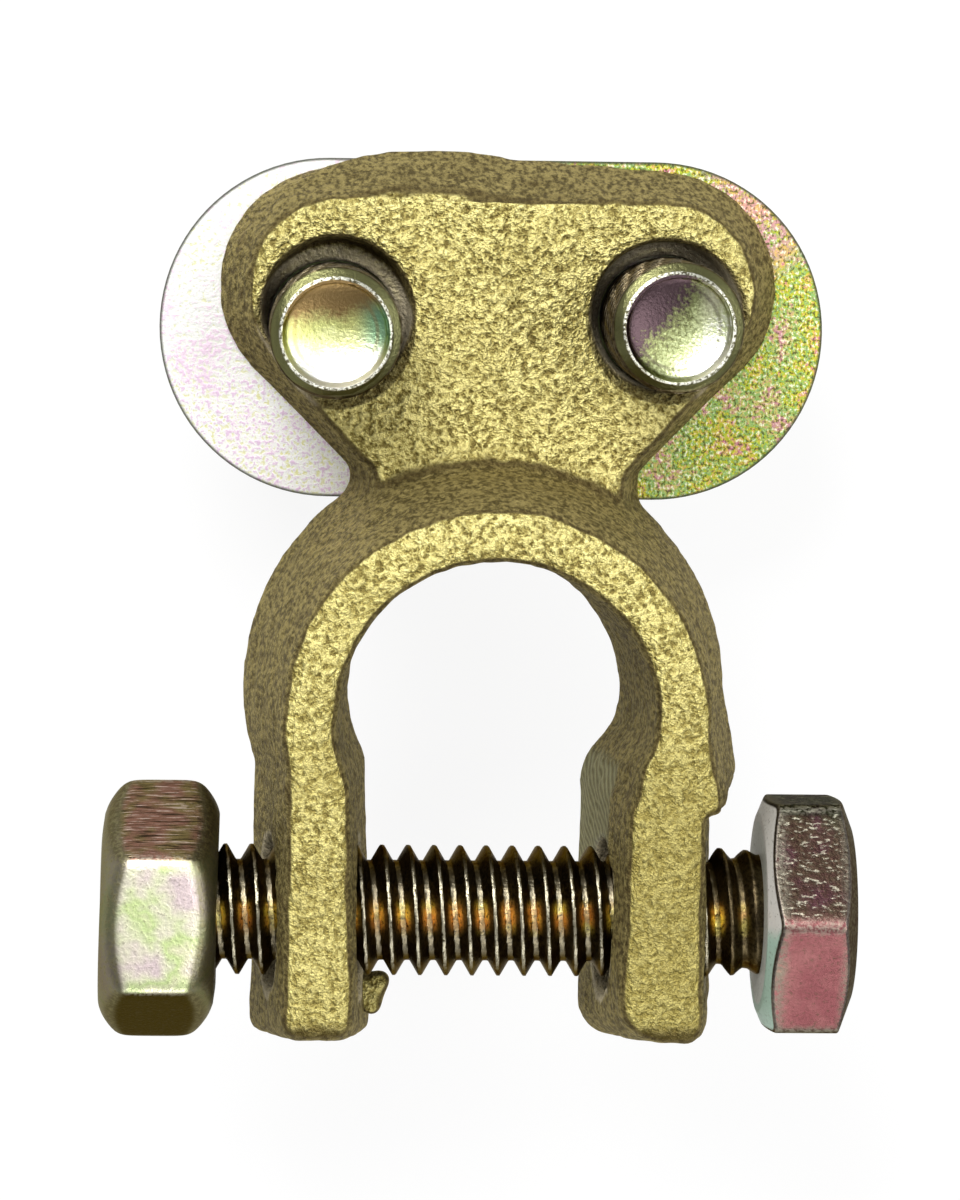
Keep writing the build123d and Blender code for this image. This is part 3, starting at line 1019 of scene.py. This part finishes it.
@dataclass
class CastingSkin:
    """Cast surface of the body: its own solid with soft edges and the unevenness of sand casting."""

    cell: float = 0.21
    merge: float = 1e-4
    rounding_passes: int = 4
    pad_rim_passes: int = 18
    hollow_passes: tuple[int, int] = (8, 3)
    hollow_depth: float = 0.05
    swell: float = 0.034
    swell_length: float = 3.2
    ripple: float = 0.018
    ripple_length: float = 1.1
    seeds: tuple[int, int] = (31, 32)
    end_fill: float = 0.70
    bore_foot: float = 6.767
    slot_foot: float = 5.35
    slot_lean: float = 4.2
    corner_fill: float = 0.58
    corner_fade: float = 0.20
    corner_y: float = -3.1
    corner_climb: float = 0.9
    corner_reach: float = 1.15
    corner_even: float = 0.25
    pad_centre: Pair = (0.45, 20.0)
    pad_lobe: float = 8.0
    pad_height: float = 4.75
    pad_out: float = 0.15
    pad_in: float = 0.63
    crown_in: float = 0.32
    crown_bulge: float = 0.17
    bulge_x: float = -3.9
    clamp_axis: Pair = CLAMP_AXIS
    far_face: float = 0.0
    near_face: float = 15.0

    def fine_copy(self) -> bpy.types.Mesh:
        """Copy of the node's mesh, merged and divided into even cells.

        Returns:
            The mesh.
        """
        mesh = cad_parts["terminal_body"].data.copy()
        work = bmesh.new()
        work.from_mesh(mesh)
        bmesh.ops.remove_doubles(work, verts=work.verts, dist=self.merge * MM)
        work.to_mesh(mesh)
        work.free()
        coarse = placed("coarse", mesh)
        cells = coarse.modifiers.new("cells", "REMESH")
        cells.mode = "VOXEL"
        cells.voxel_size = self.cell * MM
        bpy.context.view_layer.update()
        seen = coarse.evaluated_get(bpy.context.evaluated_depsgraph_get())
        fine = bpy.data.meshes.new_from_object(seen)
        bpy.data.objects.remove(coarse)
        return fine

    @staticmethod
    def softened(points: Array, edges: Array, passes: int, share: Union[float, Array] = 1.0) -> Array:
        """Points drawn towards the middle of their neighbours.

        Formula: in each pass, every point moves half the way to the mean of the points it shares an
        edge with, times its share.

        Args:
            points: points or values, as (count, columns).
            edges: pairs of point numbers, as (count, 2).
            passes: number of passes.
            share: how much of the move is made, one for all or one per point.

        Returns:
            The moved points.
        """
        a, b = edges.T
        size = len(points)
        shared = np.bincount(np.concatenate([a, b]), minlength=size)[:, None]
        for _ in range(passes):
            columns = [
                np.bincount(a, column[b], size) + np.bincount(b, column[a], size)
                for column in points.T
            ]
            points = points + share * (np.stack(columns, 1) / shared - points) / 2
        return points

    def bore_corner(self, points: Array) -> Array:
        """Extra metal where the bore runs into the head's jaw.

        Formula: a bell curve along the jaw, which stands a little higher up at the near face, plus
        an even share below it at the far face; both fade out with depth inside the wall.

        Args:
            points: points in millimetres.

        Returns:
            How far the points move inwards.
        """
        x, y, z = points.T
        up = z / self.near_face
        foot = self.bore_foot + z * BORE_SLOPE
        bore = np.sqrt(np.clip(foot**2 - np.clip(y, None, 0) ** 2, 0, None))
        wall = np.maximum(bore, self.slot_foot + z * math.tan(math.radians(self.slot_lean)))
        off_corner = (y - self.corner_y - self.corner_climb * up) / self.corner_reach
        bell = (self.corner_fill - self.corner_fade * up) * np.exp(-(off_corner**2))
        even = self.corner_even * (1 - up) * ease(y, -2.5, -4.5)
        return (bell + even) * ease(x, wall + 1.4, wall + 0.1) * (x > 3) * ease(y, -14.0, -11.0)

    def pad_draft(self, points: Array) -> Array:
        """Extra draft of the pad's wall.

        Formula: towards the line between the two lobes' centres, in step with the height, more at
        the crown than round the lobes, less a bulge at the crown's far rim, and fading out inside
        the rim and near the neck.

        Args:
            points: points in millimetres.

        Returns:
            Moves towards the line as (count, 2).
        """
        x, y, z = points.T
        off_x = x - self.pad_centre[0]
        beyond = off_x - np.clip(off_x, -self.pad_lobe, self.pad_lobe)
        from_line = np.stack([beyond, y - self.pad_centre[1]], 1)
        apart = np.linalg.norm(from_line, axis=1)
        crown = ease(np.abs(off_x), 7.5, 2.0) * ease(y, 20.0, 23.0)
        up = np.clip(z / self.pad_height, 0, 1)
        at_bulge = ease(np.abs(x - self.bulge_x), 5.0, 1.5) * ease(y, 20.0, 23.0)
        bulge = self.crown_bulge * at_bulge * (1 - up)
        inwards = -self.pad_out + (self.pad_in + self.crown_in * crown) * up - bulge
        share = inwards * ease(apart, 3.9, 5.4) * ease(y, 15.0, 17.5) * ease(z, 6.5, 5.5)
        return from_line / np.clip(apart, 0.1, None)[:, None] * share[:, None]

    def pad_rim(self, points: Array) -> Array:
        """Which points lie at the pad's near or far rim or at the near ends of the jaws.

        Formula: smooth rises towards the pad and towards its two faces, less a disc round each
        pocket; and smooth rises towards the jaws' ends and the near face.

        Args:
            points: points in millimetres.

        Returns:
            Shares from 0 to 1.
        """
        x, y, z = points.T
        share = ease(y, 13.0, 15.0) * np.maximum(ease(z, 2.4, 3.6), ease(z, 1.4, 0.8))
        for seat_x, seat_y in SEATS:
            share = share * ease(np.hypot(x - seat_x, y - seat_y), 4.5, 5.0)
        return np.maximum(share, 0.45 * ease(y, -13.6, -14.6) * ease(z, 12.0, 13.5))

    def shape(self, points: Array, normals: Array) -> tuple[Array, Array]:
        """Points with the unevenness and the drafts of the casting, and how deep they are recessed.

        Formula: each point moves along its normal by two random heights, one long and one short,
        which fade inside the holes and at the far face; then the jaws' far ends move out in step
        with the depth, and the bore's corner and the pad's wall by their own rules. A point counts
        as recessed inside a jaw's hole, or below a pocket's mouth where it faces the pocket's axis.

        Args:
            points: points in millimetres.
            normals: their normals.

        Returns:
            The moved points and the recess shares.
        """
        x, y, z = points.T
        from_clamp = np.hypot(y - self.clamp_axis[0], z - self.clamp_axis[1])
        to_hole = (self.clamp_axis[0] - y) * normals[:, 1] + (self.clamp_axis[1] - z) * normals[:, 2]
        bored = ease(from_clamp, 4.6, 4.0) * (to_hole > 0.5)
        # Recess shares, where the material paints light into the hole and the pockets.
        recess = 0.7 * bored
        for seat_x, seat_y in SEATS:
            away = np.hypot(x - seat_x, y - seat_y)
            inside = ease(away, 4.6, 4.1) * ease(normals[:, 2], 0.8, 0.4)
            to_seat = ((seat_x - x) * normals[:, 0] + (seat_y - y) * normals[:, 1]) / away
            within = np.maximum(ease(to_seat, 0.0, 0.4), ease(normals[:, 2], 0.3, 0.7))
            deep = ease(away, SEAT_RADIUS + 0.18, SEAT_RADIUS + 0.04) * ease(z, 4.7, 4.2) * within
            bored = np.maximum(bored, inside)
            recess = np.maximum(recess, deep)
        long_seed, short_seed = self.seeds
        rise = self.swell * uneven(points, self.swell_length, long_seed)
        rise = rise + self.ripple * uneven(points, self.ripple_length, short_seed)
        flat = ease(z, self.far_face + 0.6, self.far_face + 0.1)
        moved = points + normals * (rise * (1 - bored) * (1 - flat))[:, None]
        moved[:, 1] -= self.end_fill * (1 - z / self.near_face) * ease(y, -12.0, -15.0)
        moved[:, 0] -= self.bore_corner(points)
        moved[:, :2] -= self.pad_draft(points)
        moved[:, 2] = np.clip(moved[:, 2], self.far_face, None)
        return moved, recess

    def build(self, finish: Material) -> Piece:
        """Builds the skin and puts it in place of the node.

        Args:
            finish: the casting's material.

        Returns:
            The skin.
        """
        mesh = self.fine_copy()
        count = len(mesh.vertices)
        points, normals = np.empty(count * 3), np.empty(count * 3)
        edges = np.empty(len(mesh.edges) * 2, np.int64)
        mesh.vertices.foreach_get("co", points)
        mesh.edges.foreach_get("vertices", edges)
        points, edges = points.reshape(-1, 3) / MM, edges.reshape(-1, 2)
        points = self.softened(points, edges, self.rounding_passes)
        points = self.softened(points, edges, self.pad_rim_passes, self.pad_rim(points)[:, None])
        mesh.vertices.foreach_set("co", (points * MM).ravel())
        mesh.update()
        mesh.vertex_normals.foreach_get("vector", normals)
        normals = normals.reshape(-1, 3)
        # How concave each point is, for the shade that the material paints in the hollows.
        wide, narrow = self.hollow_passes
        lean = self.softened(points, edges, wide) - points
        depth = (lean * normals).sum(1, keepdims=True) / self.hollow_depth
        hollow_shade = self.softened(depth, edges, narrow)
        points, recess = self.shape(points, normals)
        mesh.vertices.foreach_set("co", (points * MM).ravel())
        add_layer(mesh, "hollow_shade", hollow_shade[:, 0])
        add_layer(mesh, "recess", recess)
        mesh.polygons.foreach_set("use_smooth", np.ones(len(mesh.polygons), bool))
        mesh.materials.clear()
        mesh.materials.append(finish)
        mesh.update()
        skin = placed("casting_skin", mesh)
        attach(skin, "terminal_body")
        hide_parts("terminal_body")
        log.info("%s: %d faces", skin.name, len(mesh.polygons))
        return skin


@dataclass
class Casting:
    """The cast body with its flash, and the flat plate, which keeps its own solid."""

    def build(self) -> None:
        """Builds the skin and the flash, and dresses the plate."""
        brass = CastBrass().make()
        CastingSkin().build(brass)
        FlashLump().build(brass)
        zinc = ZincPlate().make()
        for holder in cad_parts["cable_plate"].material_slots:
            holder.material = zinc
        log.info("cable_plate: dressed in %s", zinc.name)


@dataclass(frozen=True)
class Lamp:
    """A soft square lamp, aimed at the middle of the clamp."""

    name: str
    place_m: Place
    size_m: float
    watts: float


@dataclass
class Studio:
    """Floor, lights and camera."""

    camera_mm: Place = (-11.844, 28.141, 246.124)
    right: Place = (0.99885, 0.0143, 0.04582)
    up: Place = (-0.00982, 0.99527, -0.09661)
    back: Place = (-0.04698, 0.09605, 0.99427)
    lens_mm: float = 148.5
    sensor_mm: float = 36.0
    floor_mm: float = -12.0
    floor_half_m: float = 1.5
    floor_grey: float = 0.88
    floor_whiteness: float = 0.88
    aim_m: Place = (0, 0.005, 0.005)
    lamps: tuple[Lamp, ...] = (
        Lamp("key", (-0.075, 0.165, 0.215), 0.14, 0.95),
        Lamp("fill", (0.26, 0.02, 0.34), 0.30, 1.1),
        Lamp("rim", (0.05, -0.38, 0.20), 0.20, 0.5),
    )
    surround_grey: float = 0.62
    surround_strength: float = 0.7

    def camera(self) -> None:
        """Camera at its place, its axes given as the columns of its matrix."""
        data = bpy.data.cameras.new("camera")
        data.lens, data.sensor_width, data.clip_start = self.lens_mm, self.sensor_mm, 0.01
        columns = [Vector(self.right), Vector(self.up), Vector(self.back)]
        turn = Matrix(columns).transposed().to_4x4()
        made = placed("camera", data)
        made.matrix_world = Matrix.Translation(Vector(self.camera_mm) * MM) @ turn
        bpy.context.scene.camera = made

    def floor(self) -> None:
        """Pale floor that looks white to the camera and in reflections, and keeps its shadow."""
        mesh = bpy.data.meshes.new("floor")
        half, level = self.floor_half_m, self.floor_mm * MM
        corners = [(-half, -half, level), (half, -half, level), (half, half, level), (-half, half, level)]
        mesh.from_pydata(corners, [], [(0, 1, 2, 3)])
        g = Graph("floor")
        path = g.node("ShaderNodeLightPath")
        seen = Val(g, path.outputs["Is Camera Ray"]) + Val(g, path.outputs["Is Glossy Ray"])
        plain = g.out("ShaderNodeBsdfDiffuse", {}, {"Color": (self.floor_grey,) * 3})
        white = g.out("ShaderNodeEmission", {}, {"Color": (1.0, 1.0, 1.0), "Strength": 1.0})
        both = g.out("ShaderNodeMixShader", {}, {0: seen * self.floor_whiteness, 1: plain, 2: white})
        g.node("ShaderNodeOutputMaterial", {}, {"Surface": both})
        mesh.materials.append(g.material)
        placed("floor", mesh)

    def lights(self) -> None:
        """Soft lamps and an even pale surround."""
        for lamp in self.lamps:
            data = bpy.data.lights.new(lamp.name, "AREA")
            data.size, data.energy = lamp.size_m, lamp.watts
            place = Vector(lamp.place_m)
            turn = (Vector(self.aim_m) - place).to_track_quat("-Z", "Y").to_matrix().to_4x4()
            placed(lamp.name, data).matrix_world = Matrix.Translation(place) @ turn
        world = bpy.data.worlds.new("surround")
        world.use_nodes = True
        backdrop = world.node_tree.nodes["Background"].inputs
        backdrop["Color"].default_value = (*(self.surround_grey,) * 3, 1)
        backdrop["Strength"].default_value = self.surround_strength
        bpy.context.scene.world = world

    def build(self) -> None:
        """Sets the stage."""
        self.camera()
        self.floor()
        self.lights()
        bpy.context.scene.view_settings.view_transform = "Standard"


def fasteners() -> list[Union[Nut, Screw]]:
    """The nut and the three bolts, each with its own plating.

    Returns:
        The nut, the clamp bolt and the two cable bolts.
    """
    nut_finish = ZincHex(
        "plated_nut",
        stops=(
            (0.34, (0.82, 0.68, 0.68)), (0.44, (0.90, 0.88, 0.66)), (0.53, (0.68, 0.82, 0.38)),
            (0.61, (0.92, 0.90, 0.62)), (0.72, (0.80, 0.70, 0.64)),
        ),
        upper=((0.24, 0.125, 0.090), (0.20, 0.155, 0.065)),
        lower=(0.042, 0.032, 0.012), scratch=(0.07, 1.0, 1.0), mark_mm=0.10,
    )
    clamp_head = ZincHex(
        "clamp_head",
        stops=((0.40, (0.17, 0.058, 0.062)), (0.56, (0.22, 0.090, 0.088)), (0.70, (0.20, 0.15, 0.11))),
        upper=((0.028, 0.030, 0.015), (0.038, 0.018, 0.024)),
        lower=(0.10, 0.08, 0.06), chamfer=(0.115, 0.100, 0.090),
        bearing=((0.66, 0.64, 0.60), (0.40, 0.56, 0.46)),
        scratch=(0.45, 1.0, 1.0), pale=(0.44, 0.43, 0.33), mark_mm=0.19, frame_mm=(15.5, 1.05, 1.75),
        rim=(0.25, 0.24, 0.16),
    )
    clamp_bolt = Screw(
        node="clamp_bolt", axis=Axis.X, centre=CLAMP_AXIS, bearing=13.25, toward_tip=-1,
        length=31.75, neck=-0.8, run_out=3.4,
        thread_finish=ZincThread("clamp_thread", Axis.X, CLAMP_AXIS),
        head_finish=clamp_head, first_corner=math.radians(87.5), crest_at=-0.054,
    )
    threads = (
        ZincThread("cable_thread_left", Axis.Z, SEATS[0]),
        ZincThread(
            "cable_thread_right", Axis.Z, SEATS[1], cup_dark=(0.080, 0.052, 0.058),
            cup_middle=(0.22, 0.24, 0.10), cup_light=(0.58, 0.64, 0.34), cup_lit_way=(0.80, -0.60),
            cup_side=(0.66, 0.62, 0.48), cup_speck=0.55, cup_stops=(0.28, 0.42, 0.60, 0.80),
        ),
    )
    cable_bolts = [
        Screw(
            node=f"cable_bolt_{side}", axis=Axis.Z, centre=thread.centre_mm, bearing=-1.5,
            toward_tip=1, length=12.7, neck=1.6, first_corner=0.0, thread_finish=thread,
            head_finish=ZincHex(
                f"cable_head_{side}",
                stops=(
                    (0.40, (0.50, 0.56, 0.26)), (0.52, (0.66, 0.64, 0.46)), (0.66, (0.58, 0.44, 0.44)),
                ),
                upper=((0.20, 0.16, 0.10), (0.15, 0.12, 0.06)),
                lower=(0.12, 0.10, 0.06), scratch=(1.0, 1.0, 0.10),
            ),
        )
        for side, thread in zip(("left", "right"), threads)
    ]
    return [Nut(nut_finish), clamp_bolt, *cable_bolts]


def main() -> None:
    """Builds the sub-assemblies in order and reports each."""
    logging.basicConfig(level=logging.INFO, format="%(name)s: %(message)s")
    Studio().build()
    Casting().build()
    for fastener in fasteners():
        fastener.build()


if __name__ == "__main__":
    main()
